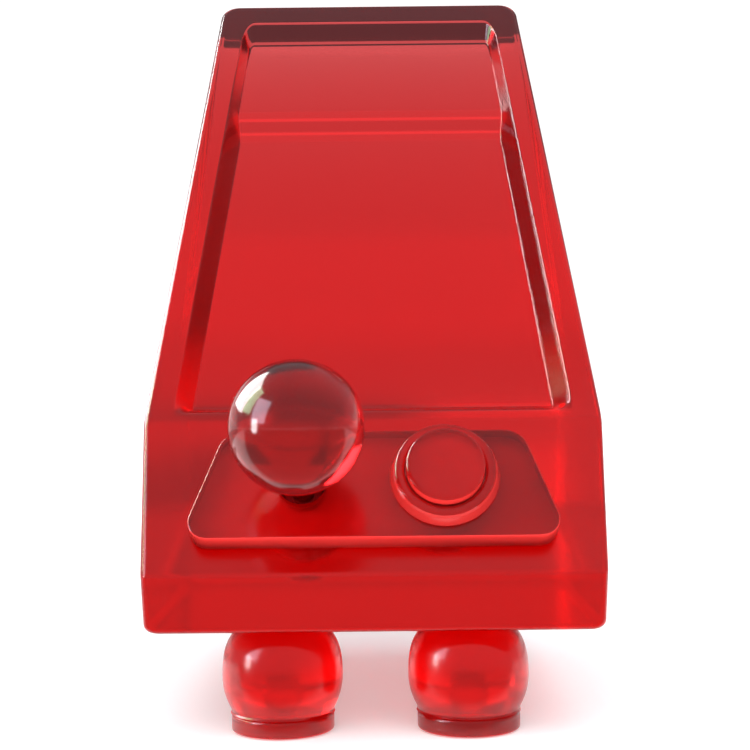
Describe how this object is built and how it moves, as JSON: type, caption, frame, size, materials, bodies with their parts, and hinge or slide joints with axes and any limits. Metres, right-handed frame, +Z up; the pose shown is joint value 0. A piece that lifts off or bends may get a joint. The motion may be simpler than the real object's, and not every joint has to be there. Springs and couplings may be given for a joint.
{
  "type": "novelty console",
  "caption": "Clear red wedge-shaped novelty console on bulb feet, with a stepped recess, a ball-top stick that tilts and centres, and a push button.",
  "frame": {"origin": "middle of the bounding box, on the plane the feet stand on", "axes": "+X to the right as seen from the front, +Y to the back, +Z up; the controls face -Y"},
  "size_m": [0.1308, 0.1892, 0.232],
  "materials": {
    "red_resin": "polished clear casting",
    "dark_red_resin": "polished clear casting",
    "ball_resin": "polished clear ball",
    "steel": "plain",
    "spring_wire": "drawn wire",
    "red_alloy": "anodised red",
    "black_nylon": "moulded"
  },
  "bodies": {
    "cabinet": {"cabinet_body": "red_resin", "control_panel": "dark_red_resin", "panel_dowels": "steel", "joystick_housing": "black_nylon", "housing_screws": "steel", "gimbal_pins": "steel", "spring_seat": "black_nylon", "centring_spring": "spring_wire", "button_bezel": "red_resin", "button_ring_nut": "black_nylon", "button_base": "black_nylon", "button_spring": "spring_wire", "front_left_foot": "red_resin", "front_right_foot": "red_resin", "rear_left_foot": "red_resin", "rear_right_foot": "red_resin", "front_left_base": "red_resin", "front_right_base": "red_resin", "rear_left_base": "red_resin", "rear_right_base": "red_resin", "foot_studs": "red_resin"},
    "gimbal": {"gimbal_ring": "red_alloy", "hub_pin": "steel"},
    "stick": {"joystick_shaft": "red_resin", "joystick_hub": "red_alloy", "spring_cup": "black_nylon", "shaft_clip": "steel", "lock_nut": "red_resin", "joystick_ball": "ball_resin"},
    "button": {"button_plunger": "red_resin", "button_clip": "steel"}
  },
  "joints": [
    {"name": "stick_fore_aft", "type": "hinge", "parent": "cabinet", "child": "gimbal", "pos_m": [-0.0195, -0.03904, 0.06428], "axis": [1, 0, 0], "range_deg": [-10, 10], "stiffness_Nm_per_rad": 1, "deforming": ["centring_spring"]},
    {"name": "stick_side", "type": "hinge", "parent": "gimbal", "child": "stick", "pos_m": [-0.0195, -0.03904, 0.06428], "axis": [0, 0.5, 0.866], "range_deg": [-10, 10], "stiffness_Nm_per_rad": 1, "deforming": ["centring_spring"]},
    {"name": "button_press", "type": "slide", "parent": "cabinet", "child": "button", "axis": [0, 0.866, -0.5], "range_m": [0, 0.003], "stiffness_N_per_m": 400, "springref_m": -0.003, "deforming": ["button_spring"]}
  ]
}
